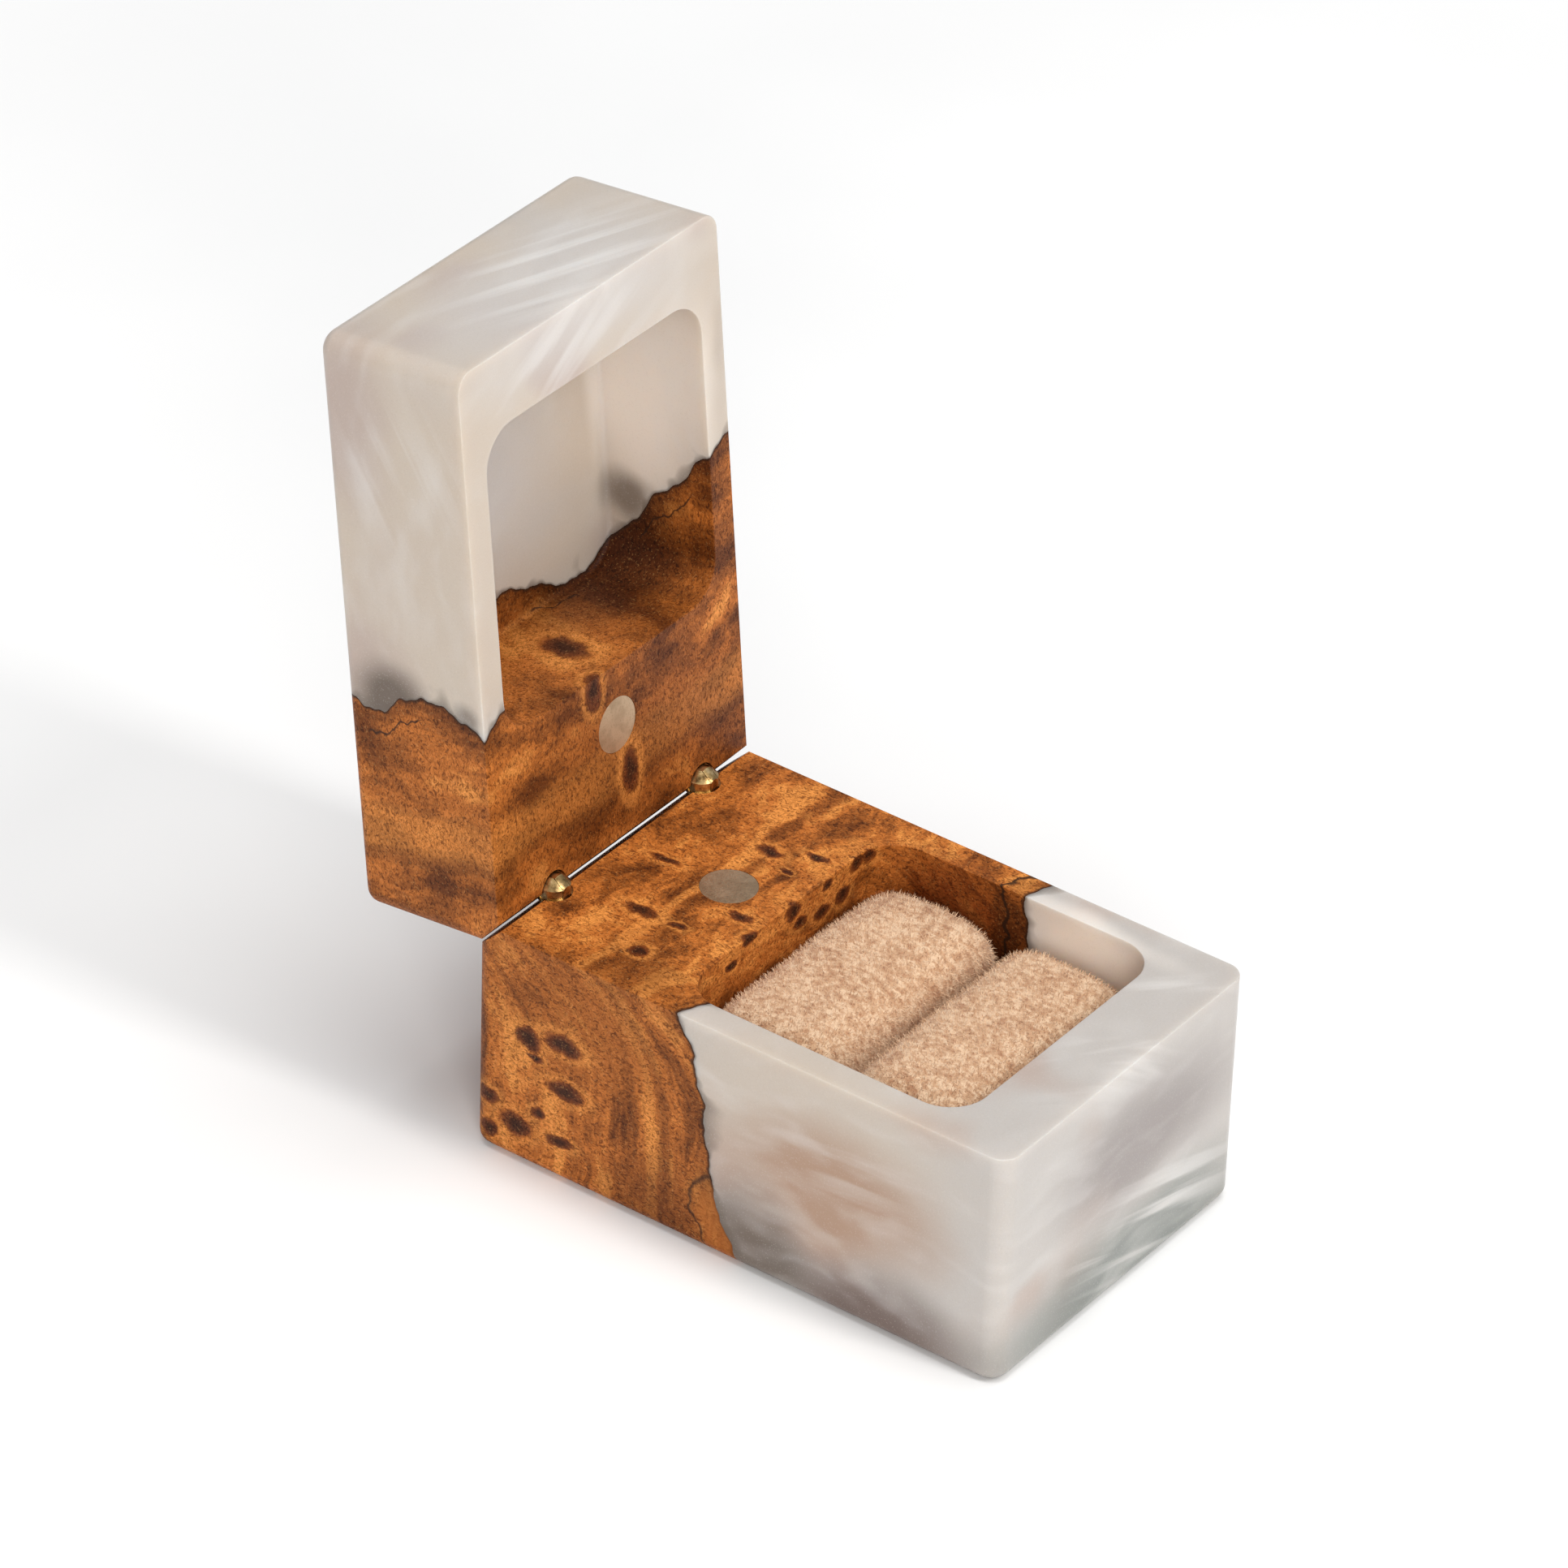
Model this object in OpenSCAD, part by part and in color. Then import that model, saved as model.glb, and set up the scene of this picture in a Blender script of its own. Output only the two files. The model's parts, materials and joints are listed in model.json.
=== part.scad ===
// Hinged ring box milled from a block of burl wood and cast pearl resin.
// Origin at the centre of the underside, +Z up, front towards -Y, hinges at +Y.
// The lid is drawn open, resting on its stop.

/* [Box] */
// outside length from front face to hinge face
box_length = 65; // [58:0.5:80]
// outside width along the hinge line
box_width = 41.2; // [38:0.2:52]
// height of the base block
base_height = 27.2; // [26:0.2:34]
// height of the lid block
lid_height = 17.5; // [16:0.1:24]
// radius of the four upright corners
corner_radius = 2.1; // [1:0.1:4]
// flat broken along the outer long edges
edge_ease = 0.8; // [0.3:0.1:1.5]
// air between the closed faces
seam_gap = 0.1; // [0.05:0.01:0.2]

/* [Pockets] */
// pocket size across the box
pocket_width = 34.4; // [30:0.2:36]
// pocket size front to back
pocket_length = 33.8; // [30:0.2:38]
// wall left at the front
front_wall = 8.1; // [6:0.1:12]
// radius of the pocket corners
pocket_radius = 4.4; // [2:0.1:6]
// wood and resin left under the base pocket
base_floor = 5; // [3:0.1:8]
// depth of the lid pocket
lid_pocket_depth = 13.5; // [10:0.1:15]

/* [Hinges] */
// pin centre in from the hinge face
pin_inset = 3; // [2.6:0.1:4]
// pin centre above the top of the base
pin_rise = 0.2; // [0:0.05:0.5]
// left hinge position across the box
hinge_left_x = -11.6; // [-14:0.1:-9]
// right hinge position across the box
hinge_right_x = 12.9; // [9:0.1:14]
// radius of the drilled hinge holes
hinge_bore_r = 2; // [1.9:0.05:2.6]
// radius of the brass barrels
barrel_r = 1.98; // [1.85:0.01:2.5]
// length of each barrel
barrel_length = 9; // [7:0.5:10]
// radius of the domed knuckle
knuckle_r = 1.75; // [1.5:0.05:1.8]
// thickness of the lid half's tongue
tongue_width = 1.14; // [0.9:0.02:1.3]
// radius of the hinge pin
hinge_pin_r = 0.5; // [0.4:0.05:0.7]
// 45 degree bevel at the hinge face that stops the lid
stop_bevel = 3.4; // [3.1:0.05:3.8]
// how far the lid opens
open_angle = 95.5; // [90:0.5:97]

/* [Magnets] */
// magnet radius
magnet_r = 3; // [2:0.1:4]
// magnet thickness
magnet_height = 3; // [2:0.1:4]
// magnet centre behind the middle of the box
magnet_y = 16.3; // [14:0.1:20]
// how far the magnet face sits below the wood
magnet_sink = 0.05; // [0.02:0.01:0.2]

/* [Ring rolls] */
// air between a roll and the pocket wall
roll_gap = 0.3; // [0.2:0.05:0.6]
// crest of the rolls below the rim
roll_drop = 2; // [1.6:0.1:4]
// thickness of the plush cover
plush_thickness = 1.4; // [1:0.1:2]
// bevel at the ends of a roll
roll_end_ease = 3; // [2:0.1:4]

/* [Hidden] */
$fn = 64;
// extra length of a cutter past the face that it cuts
over = 1;
half_w = box_width / 2;
half_l = box_length / 2;
// hinge axis
pin_y = half_l - pin_inset;
pin_z = base_height + pin_rise;
// pocket limits
pocket_x = pocket_width / 2;
pocket_front = -half_l + front_wall;
pocket_back = pocket_front + pocket_length;
// plays and recesses
bore_play = 0.04;
tongue_play = 0.05;
pin_play = 0.03;
pin_recess = 0.05;
magnet_play = 0.03;
bevel_play = 0.15;
glue_room = 1;
// knuckle outline, an eight sided dome, and the height where the lid barrel starts
dome_flat = 0.43 * knuckle_r;
dome_clear = 1.2 * knuckle_r;
// holes
magnet_hole_r = magnet_r + magnet_play;
base_bore_depth = barrel_length + glue_room;
lid_bore_depth = barrel_length + dome_clear + glue_room;
// rolls
roll_r = (pocket_length - 3 * roll_gap) / 4;
roll_half_length = pocket_x - roll_gap;
roll_bottom = base_floor + roll_gap / 2;
roll_axis_z = base_height - roll_drop - roll_r;
roll_rear_y = pocket_back - roll_gap - roll_r;
roll_front_y = pocket_front + roll_gap + roll_r;
roll_corner_r = pocket_radius - roll_gap;
foam_play = 0.1;
soft_fn = 32;
wood_color = [0.62, 0.33, 0.13];
resin_color = [0.86, 0.84, 0.83];
brass_color = [0.78, 0.62, 0.3];
nickel_color = [0.66, 0.6, 0.54];
plush_color = [0.84, 0.68, 0.55];
foam_color = [0.92, 0.9, 0.84];

// Where wood meets resin: distance along Y for a place across the box and a height.
function mix(a, b, t) = a + (b - a) * t;
function base_left_seam(t) = -1.4 + 19.27 * t - 29.47 * pow(t, 2) + 18.8 * pow(t, 3);
function base_right_seam(t) = -6.4 - 3 * t + 0.7 * sin(400 * t);
function base_seam(x, z) =
    mix(base_left_seam(z / base_height), base_right_seam(z / base_height), (x + half_w) / box_width)
    + 0.8 * sin(14 * x + 3 * z) * (1 - pow(abs(x) / half_w, 4));
function lid_left_seam(z) = 6.9 + 1.6 * sin(20.6 * z - 223);
function lid_right_seam(z) = -7.4 + 1.02 * z;
function lid_seam(x, z) =
    mix(lid_left_seam(z), lid_right_seam(z), (x + half_w) / box_width)
    + 0.16 * z * sin(13.3 * (x - 5.5)) * (1 - pow(abs(x) / half_w, 6))
    + 1.9 * mix(1, 0, min(1, z / 4)) * sin(4.4 * (x + half_w)) * (x < 0 ? -1 : 0);

// Everything on the wood side of a seam, as one closed block.
module wood_side(height, lid) {
    across = 16;
    up = 8;
    far_y = half_l + over;
    x0 = -half_w - over;
    x1 = half_w + over;
    z0 = -over;
    z1 = height + over;
    front = [
        for (i = [0 : across]) for (j = [0 : up])
            let (x = mix(x0, x1, i / across), z = mix(z0, z1, j / up),
                 xc = max(-half_w, min(half_w, x)), zc = max(0, min(height, z)))
            [x, lid ? lid_seam(xc, zc) : base_seam(xc, zc), z]
    ];
    back = [[x0, far_y, z0], [x1, far_y, z0], [x1, far_y, z1], [x0, far_y, z1]];
    n = len(front);
    cells = [
        for (i = [0 : across - 1]) for (j = [0 : up - 1]) for (half = [0, 1])
            let (a = i * (up + 1) + j, b = a + up + 1)
            half == 0 ? [a, a + 1, b + 1] : [a, b + 1, b]
    ];
    low = [for (i = [0 : across]) i * (up + 1)];
    high = [for (i = [across : -1 : 0]) i * (up + 1) + up];
    left = [for (j = [up : -1 : 0]) j];
    right = [for (j = [0 : up]) across * (up + 1) + j];
    polyhedron(
        points = concat(front, back),
        faces = concat(cells, [
            [n + 1, n + 2, n + 3, n],
            concat(low, [n + 1, n]),
            concat(high, [n + 3, n + 2]),
            concat(left, [n, n + 3]),
            concat(right, [n + 2, n + 1])
        ]),
        convexity = 6
    );
}

// Upright block with rounded corners between two limits in Y.
module rounded_block(x_half, y_low, y_high, z_low, z_high, r) {
    h = z_high - z_low;
    translate([-x_half + r, y_low, z_low]) cube([2 * (x_half - r), y_high - y_low, h]);
    translate([-x_half, y_low + r, z_low]) cube([2 * x_half, y_high - y_low - 2 * r, h]);
    for (x = [-x_half + r, x_half - r]) for (y = [y_low + r, y_high - r])
        translate([x, y, z_low]) cylinder(r = r, h = h);
}

// 45 degree cuts along the four outer edges at height z.
module edge_cuts(z) {
    side = edge_ease * sqrt(2);
    span = 2 * box_length;
    for (x = [-half_w, half_w]) translate([x, 0, z]) rotate([0, 45, 0])
        cube([side, span, side], center = true);
    for (y = [-half_l, half_l]) translate([0, y, z]) rotate([45, 0, 0])
        cube([span, side, side], center = true);
}

// 45 degree bevel along the hinge face, at the parting face of a block.
module stop_cut(z) {
    side = stop_bevel * sqrt(2);
    translate([0, half_l, z]) rotate([45, 0, 0]) cube([2 * box_width, side, side], center = true);
}

module hinge_places() {
    for (x = [hinge_left_x, hinge_right_x]) translate([x, pin_y, 0]) children();
}

module base_blank() {
    difference() {
        rounded_block(half_w, -half_l, half_l, 0, base_height, corner_radius);
        edge_cuts(0);
        stop_cut(base_height);
        rounded_block(pocket_x, pocket_front, pocket_back, base_floor, base_height + over, pocket_radius);
    }
}

module lid_blank() {
    difference() {
        rounded_block(half_w, -half_l, half_l, 0, lid_height, corner_radius);
        edge_cuts(lid_height);
        stop_cut(0);
        rounded_block(pocket_x, pocket_front, pocket_back, -over, lid_pocket_depth, pocket_radius);
    }
}

// Puts a piece drawn on the closed lid, parting face at height 0, into the open pose.
module on_lid() {
    translate([0, pin_y, pin_z]) rotate([-open_angle, 0, 0])
        translate([0, -pin_y, base_height + seam_gap - pin_z]) children();
}

module base_wood() {
    color(wood_color) difference() {
        intersection() {
            base_blank();
            wood_side(base_height, false);
        }
        hinge_places() translate([0, 0, base_height - base_bore_depth])
            cylinder(r = hinge_bore_r, h = base_bore_depth + over);
        translate([0, magnet_y, base_height - magnet_height - magnet_sink])
            cylinder(r = magnet_hole_r, h = magnet_height + over);
    }
}

module base_resin() {
    color(resin_color) difference() {
        base_blank();
        wood_side(base_height, false);
    }
}

module lid_wood() {
    color(wood_color) on_lid() difference() {
        intersection() {
            lid_blank();
            wood_side(lid_height, true);
        }
        hinge_places() translate([0, 0, -over]) cylinder(r = hinge_bore_r, h = lid_bore_depth + over);
        translate([0, magnet_y, -over])
            cylinder(r = magnet_hole_r, h = magnet_height + magnet_sink + over);
    }
}

module lid_resin() {
    color(resin_color) on_lid() difference() {
        lid_blank();
        wood_side(lid_height, true);
    }
}

module magnet() {
    color(nickel_color) cylinder(r = magnet_r, h = magnet_height);
}

module base_magnet() {
    translate([0, magnet_y, base_height - magnet_height - magnet_sink]) magnet();
}

module lid_magnet() {
    on_lid() translate([0, magnet_y, magnet_sink]) magnet();
}

// Solid eight sided dome about the pin centre.
module knuckle_dome() {
    rotate_extrude() polygon([
        [0, -knuckle_r], [dome_flat, -knuckle_r], [knuckle_r, -dome_flat],
        [knuckle_r, dome_flat], [dome_flat, knuckle_r], [0, knuckle_r]
    ]);
}

// Half space behind the stop bevel, about the pin centre; up is 1 for the base, -1 for the lid.
module behind_bevel(up) {
    reach = 4 * barrel_length;
    start = pin_inset - stop_bevel - pin_rise * up - bevel_play;
    rotate([45 * up, 0, 0]) translate([-reach / 2, start / sqrt(2), -reach / 2])
        cube([reach, reach, reach]);
}

// Fork half: barrel in the base with two domed cheeks around the pin.
module fork_half() {
    slot = tongue_width + 2 * tongue_play;
    top = -pin_rise - bore_play;
    color(brass_color) difference() {
        union() {
            difference() {
                union() {
                    translate([0, 0, top - barrel_length]) cylinder(r = barrel_r, h = barrel_length);
                    translate([0, 0, top - over]) cylinder(r = knuckle_r, h = over - top);
                }
                behind_bevel(1);
            }
            knuckle_dome();
        }
        cube([slot, 4 * barrel_r, 2 * dome_clear], center = true);
        rotate([0, 90, 0]) cylinder(r = hinge_pin_r, h = 4 * barrel_r, center = true);
    }
}

// Tongue half: barrel in the lid with one domed tongue between the cheeks.
module tongue_half() {
    color(brass_color) difference() {
        union() {
            difference() {
                union() {
                    translate([0, 0, dome_clear]) cylinder(r = barrel_r, h = barrel_length);
                    intersection() {
                        cylinder(r = knuckle_r, h = dome_clear + over);
                        cube([tongue_width, 4 * barrel_r, 2 * (dome_clear + over)], center = true);
                    }
                }
                behind_bevel(-1);
            }
            intersection() {
                knuckle_dome();
                cube([tongue_width, 4 * barrel_r, 4 * barrel_r], center = true);
            }
        }
        rotate([0, 90, 0]) cylinder(r = hinge_pin_r + pin_play, h = 4 * barrel_r, center = true);
    }
}

module hinge_pin() {
    pin_half = sqrt(pow(knuckle_r, 2) - pow(hinge_pin_r, 2)) - pin_recess;
    color(brass_color) rotate([0, 90, 0]) cylinder(r = hinge_pin_r, h = 2 * pin_half, center = true);
}

module hinge_left_base_half() {
    translate([hinge_left_x, pin_y, pin_z]) fork_half();
}

module hinge_right_base_half() {
    translate([hinge_right_x, pin_y, pin_z]) fork_half();
}

module hinge_left_lid_half() {
    translate([hinge_left_x, pin_y, pin_z]) rotate([-open_angle, 0, 0]) tongue_half();
}

module hinge_right_lid_half() {
    translate([hinge_right_x, pin_y, pin_z]) rotate([-open_angle, 0, 0]) tongue_half();
}

module hinge_left_pin() {
    translate([hinge_left_x, pin_y, pin_z]) hinge_pin();
}

module hinge_right_pin() {
    translate([hinge_right_x, pin_y, pin_z]) hinge_pin();
}

// Long soft roll along X, shrunk by skin on the sides and top, with its underside at z_low.
module roll_shape(skin, z_low) {
    corner = roll_corner_r - skin;
    crest = roll_r - skin;
    ends = roll_half_length - skin;
    hull() {
        for (x = [-1, 1]) for (y = [-1, 1])
            translate([x * (ends - corner), y * (crest - corner), z_low])
                cylinder(r = corner, h = roll_axis_z - z_low, $fn = soft_fn);
        translate([0, 0, roll_axis_z]) rotate([0, 90, 0])
            cylinder(r = crest, h = 2 * (ends - roll_end_ease), center = true, $fn = soft_fn);
        translate([0, 0, roll_axis_z]) rotate([0, 90, 0])
            cylinder(r = crest - roll_end_ease, h = 2 * ends, center = true, $fn = soft_fn);
    }
}

module roll_plush() {
    color(plush_color) difference() {
        roll_shape(0, roll_bottom);
        roll_shape(plush_thickness, roll_bottom - over);
    }
}

module roll_foam() {
    color(foam_color) roll_shape(plush_thickness + foam_play, roll_bottom);
}

module roll_rear_foam() {
    translate([0, roll_rear_y, 0]) roll_foam();
}

module roll_rear_plush() {
    translate([0, roll_rear_y, 0]) roll_plush();
}

module roll_front_foam() {
    translate([0, roll_front_y, 0]) roll_foam();
}

module roll_front_plush() {
    translate([0, roll_front_y, 0]) roll_plush();
}

base_wood();
base_resin();
lid_wood();
lid_resin();
base_magnet();
lid_magnet();
hinge_left_base_half();
hinge_left_lid_half();
hinge_left_pin();
hinge_right_base_half();
hinge_right_lid_half();
hinge_right_pin();
roll_rear_foam();
roll_rear_plush();
roll_front_foam();
roll_front_plush();
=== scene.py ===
"""Looks for the hinged ring box: burl wood and pearl resin blocks, brass hinges, plush rolls."""
import json
import math
import random
from types import SimpleNamespace

import bmesh
import bpy
from mathutils import Matrix, Vector, noise


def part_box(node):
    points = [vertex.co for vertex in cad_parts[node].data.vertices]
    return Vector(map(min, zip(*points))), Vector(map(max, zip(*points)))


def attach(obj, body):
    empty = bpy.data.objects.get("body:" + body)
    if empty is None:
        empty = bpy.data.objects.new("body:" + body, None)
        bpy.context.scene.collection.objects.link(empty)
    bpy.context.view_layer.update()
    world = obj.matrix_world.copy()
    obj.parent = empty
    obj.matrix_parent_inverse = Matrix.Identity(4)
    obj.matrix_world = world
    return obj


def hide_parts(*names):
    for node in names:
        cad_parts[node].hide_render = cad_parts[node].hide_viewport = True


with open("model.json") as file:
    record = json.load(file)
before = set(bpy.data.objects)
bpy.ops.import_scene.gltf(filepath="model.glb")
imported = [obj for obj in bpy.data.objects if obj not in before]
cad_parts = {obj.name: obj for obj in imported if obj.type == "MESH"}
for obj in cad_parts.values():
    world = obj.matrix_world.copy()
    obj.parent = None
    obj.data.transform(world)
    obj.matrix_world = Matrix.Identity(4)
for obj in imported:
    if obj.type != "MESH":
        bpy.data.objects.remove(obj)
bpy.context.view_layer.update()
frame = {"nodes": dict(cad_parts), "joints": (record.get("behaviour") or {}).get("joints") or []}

MM = 0.001

# ---------------------------------------------------------------- sizes in mm
# the outline and the places of hinges and magnets come from the frame, the fillets are chosen for looks,
# and the rest repeats the design's own sizes
base_high = Vector(map(max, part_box("base_wood")[1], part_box("base_resin")[1])) / MM
HALF_WIDTH = base_high.x
LEFT = -HALF_WIDTH
RIGHT = HALF_WIDTH
HALF_LENGTH = base_high.y
BASE_HEIGHT = base_high.z
LID_HEIGHT = 17.5
SEAM_GAP = 0.1
CORNER_RADIUS = 2.1
OUTER_FILLET = 1.4
RIM_FILLET = 0.15
POCKET_HALF_WIDTH = 17.2
POCKET_FRONT = -HALF_LENGTH + 8.1
POCKET_BACK = POCKET_FRONT + 33.8
POCKET_RADIUS = 4.4
FLOOR_FILLET = 0.6
BASE_FLOOR = 5.0
LID_POCKET_DEPTH = 13.5
STOP_BEVEL = 3.4
HINGE_BORE_RADIUS = 2.0
HINGE_BORE_DEPTH = 12.0
BORE_REACH = 1.0
MAGNET_Y = sum(v.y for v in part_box("base_magnet")) / 2 / MM
MAGNET_BORE_RADIUS = 3.03
MAGNET_BORE_DEPTH = 3.1

# how finely edges and the seam are cut, how far the seam's grid runs past the block in mm, and the
# angle in degrees from which an edge counts as sharp
CORNER_STEPS = 10
OUTER_STEPS = 5
RIM_STEPS = 2
FLOOR_STEPS = 3
BORE_STEPS = 48
SEAM_COLUMNS = 120
SEAM_ROWS = 80
SEAM_OVER = 1.5
SHARP_ANGLE = 32

hinge = frame["joints"][0]
PIN = Vector(hinge["pos_m"]) / MM
OPEN_ANGLE = math.radians(hinge["range_deg"][1])
HINGE_X = [sum(v.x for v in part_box(n)) / 2 / MM for n in ("hinge_left_pin", "hinge_right_pin")]

# the lid's own frame has its parting face at height 0, as if the box were shut
LID_FRAME = (
    Matrix.Translation(PIN * MM)
    @ Matrix.Rotation(-OPEN_ANGLE, 4, "X")
    @ Matrix.Translation(Vector((0, -PIN.y, BASE_HEIGHT + SEAM_GAP - PIN.z)) * MM)
)


# ---------------------------------------------------------------- numbers that also work in a shader
class Value:
    """A shader socket that takes part in plain sums, so that one formula serves meshes and materials."""

    def __init__(self, tree, socket):
        self.tree = tree
        self.socket = socket

    def step(self, operation, *others):
        """The result of one Math node."""
        node = self.tree.nodes.new("ShaderNodeMath")
        node.operation = operation
        for place, other in zip(node.inputs, others):
            if isinstance(other, Value):
                self.tree.links.new(other.socket, place)
            else:
                place.default_value = other
        return Value(self.tree, node.outputs[0])

    def __add__(self, other):
        return self.step("ADD", self, other)

    def __sub__(self, other):
        return self.step("SUBTRACT", self, other)

    def __rsub__(self, other):
        return self.step("SUBTRACT", other, self)

    def __mul__(self, other):
        return self.step("MULTIPLY", self, other)

    def __truediv__(self, other):
        return self.step("DIVIDE", self, other)

    def __abs__(self):
        return self.step("ABSOLUTE", self)

    __radd__ = __add__
    __rmul__ = __mul__


def sine(degrees):
    """The sine of a number or of a value."""
    if isinstance(degrees, Value):
        return degrees.step("SINE", degrees * (math.pi / 180))
    return math.sin(math.radians(degrees))


def least(a, b):
    """The smaller of a value and a number."""
    return a.step("MINIMUM", a, b) if isinstance(a, Value) else min(a, b)


def mix(a, b, t):
    """From a at 0 to b at 1."""
    return a + (b - a) * t


# ---------------------------------------------------------------- where wood meets resin
def ripple(x, z, size, phase):
    """Small irregular steps and cusps of the live edge, in mm."""
    slow = sine(52 * z + 31 * x + phase)
    quick = sine(118 * z - 67 * x + 2 * phase)
    fine = sine(263 * z + 229 * x + phase)
    cusp = abs(sine(34 * z + 13 * x + phase))
    return size * (0.45 * slow + 0.3 * quick + 0.16 * fine + 0.9 * cusp - 0.55)


def base_seam(x, z):
    """Where the base's wood starts, going back, in mm."""
    t = z * (1 / BASE_HEIGHT)
    left = -1.4 + t * (19.27 + t * (-29.47 + 18.8 * t))
    right = -6.4 - 3 * t + 0.7 * sine(400 * t)
    across = x * (0.5 / HALF_WIDTH) + 0.5
    out = x * x * (1 / HALF_WIDTH**2)
    wave = 0.8 * sine(14 * x + 3 * z) * (1 - out * out)
    return mix(left, right, across) + wave + ripple(x, z, 0.35, 20)


def lid_seam(x, z):
    """Where the lid's wood starts, in the lid's own frame, in mm."""
    left = 6.9 + 1.6 * sine(20.6 * z - 223)
    right = -7.4 + 1.02 * z
    across = x * (0.5 / HALF_WIDTH) + 0.5
    out = x * x * (1 / HALF_WIDTH**2)
    swell = 0.16 * z * sine(13.3 * (x - 5.5)) * (1 - out * out * out)
    lip = 1.9 * (1 - least(z * 0.25, 1.0)) * sine(4.4 * (least(x, 0.0) + HALF_WIDTH))
    lip = lip * (least(x, 0.0) * (-1 / HALF_WIDTH))
    return mix(left, right, across) + swell - lip + ripple(x, z, 0.6, 75)


# ---------------------------------------------------------------- mesh helpers
def link_object(name, data):
    """A new object in the scene that holds the data."""
    made = bpy.data.objects.new(name, data)
    bpy.context.scene.collection.objects.link(made)
    return made


def new_object(name, bm):
    """A closed object from the bmesh, with its faces turned outwards."""
    mesh = bpy.data.meshes.new(name)
    bmesh.ops.recalc_face_normals(bm, faces=bm.faces)
    bm.to_mesh(mesh)
    bm.free()
    return link_object(name, mesh)


def apply_modifiers(obj):
    """Bakes the modifiers into the mesh."""
    graph = bpy.context.evaluated_depsgraph_get()
    mesh = bpy.data.meshes.new_from_object(obj.evaluated_get(graph))
    obj.modifiers.clear()
    obj.data = mesh


def boolean(obj, cutter, operation):
    """Cuts obj by the cutter, which stays."""
    step = obj.modifiers.new("cut", "BOOLEAN")
    step.operation = operation
    step.solver = "EXACT"
    step.object = cutter
    apply_modifiers(obj)


def smooth(obj):
    """Smooth shading that keeps the real edges sharp."""
    obj.data.shade_smooth()
    obj.data.set_sharp_from_angle(angle=math.radians(SHARP_ANGLE))
    even = obj.modifiers.new("even normals", "WEIGHTED_NORMAL")
    even.keep_sharp = True
    even.weight = 100


def quarter_turn(steps):
    """The sine and cosine of even steps from 0 to 90 degrees."""
    angles = [math.radians(90 * i / steps) for i in range(steps + 1)]
    return [(math.sin(a), math.cos(a)) for a in angles]


def bridge(bm, rings):
    """Side faces between each closed ring of vertices and the next."""
    count = len(rings[0])
    for a, b in zip(rings, rings[1:]):
        for i in range(count):
            j = (i + 1) % count
            bm.faces.new((a[i], a[j], b[j], b[i]))


def close_ends(bm, rings):
    """End faces on the first and the last ring."""
    bm.faces.new(rings[0])
    bm.faces.new(list(reversed(rings[-1])))


def rounded_loop(half_width, front, back, radius, z):
    """Points of a rounded rectangle at height z, in mm."""
    points = []
    corners = [
        (half_width - radius, front + radius, -90),
        (half_width - radius, back - radius, 0),
        (-half_width + radius, back - radius, 90),
        (-half_width + radius, front + radius, 180),
    ]
    for cx, cy, start in corners:
        for i in range(CORNER_STEPS + 1):
            a = math.radians(start + 90 * i / CORNER_STEPS)
            points.append(Vector((cx + radius * math.cos(a), cy + radius * math.sin(a), z)))
    return points


def outer_loop(inset, z):
    return rounded_loop(
        HALF_WIDTH - inset, -HALF_LENGTH + inset, HALF_LENGTH - inset, CORNER_RADIUS - inset, z
    )


def pocket_loop(inset, z):
    return rounded_loop(
        POCKET_HALF_WIDTH - inset, POCKET_FRONT + inset, POCKET_BACK - inset, POCKET_RADIUS - inset, z
    )


def tray(block):
    """Milled block with one pocket, as loops from the cap along the outside, over the rim and down inside."""
    up = block.up
    loops = []
    for sin, cos in quarter_turn(OUTER_STEPS):
        loops.append(outer_loop(OUTER_FILLET * (1 - sin), block.cap + up * OUTER_FILLET * (1 - cos)))
    for sin, cos in quarter_turn(RIM_STEPS):
        loops.append(outer_loop(RIM_FILLET * (1 - cos), block.rim - up * RIM_FILLET * (1 - sin)))
    for sin, cos in quarter_turn(RIM_STEPS):
        loops.append(pocket_loop(-RIM_FILLET * (1 - sin), block.rim - up * RIM_FILLET * (1 - cos)))
    for sin, cos in quarter_turn(FLOOR_STEPS):
        loops.append(pocket_loop(FLOOR_FILLET * (1 - cos), block.floor + up * FLOOR_FILLET * (1 - sin)))

    bm = bmesh.new()
    rings = [[bm.verts.new(p * MM) for p in loop] for loop in loops]
    bridge(bm, rings)
    close_ends(bm, rings)
    return new_object(block.name, bm)


def bore(bm, x, y, radius, z_low, z_high):
    """Adds a round rod that will cut a hole."""
    place = Matrix.Translation(Vector((x, y, (z_low + z_high) / 2)) * MM)
    bmesh.ops.create_cone(
        bm, cap_ends=True, segments=BORE_STEPS, radius1=radius * MM, radius2=radius * MM,
        depth=(z_high - z_low) * MM, matrix=place,
    )


def cut_away(obj, name, bm):
    """Cuts the solids of a bmesh out of obj."""
    cutter = new_object(name, bm)
    boolean(obj, cutter, "DIFFERENCE")
    bpy.data.objects.remove(cutter)


def cut_bores(obj, block):
    """Hinge and magnet bores, down from the rim."""
    bm = bmesh.new()
    top = block.rim + block.up * BORE_REACH
    hinge_ends = sorted((top, block.rim - block.up * HINGE_BORE_DEPTH))
    for x in HINGE_X:
        bore(bm, x, PIN.y, HINGE_BORE_RADIUS, *hinge_ends)
    magnet_ends = sorted((top, block.rim - block.up * MAGNET_BORE_DEPTH))
    bore(bm, 0, MAGNET_Y, MAGNET_BORE_RADIUS, *magnet_ends)
    cut_away(obj, "holes", bm)


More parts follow.
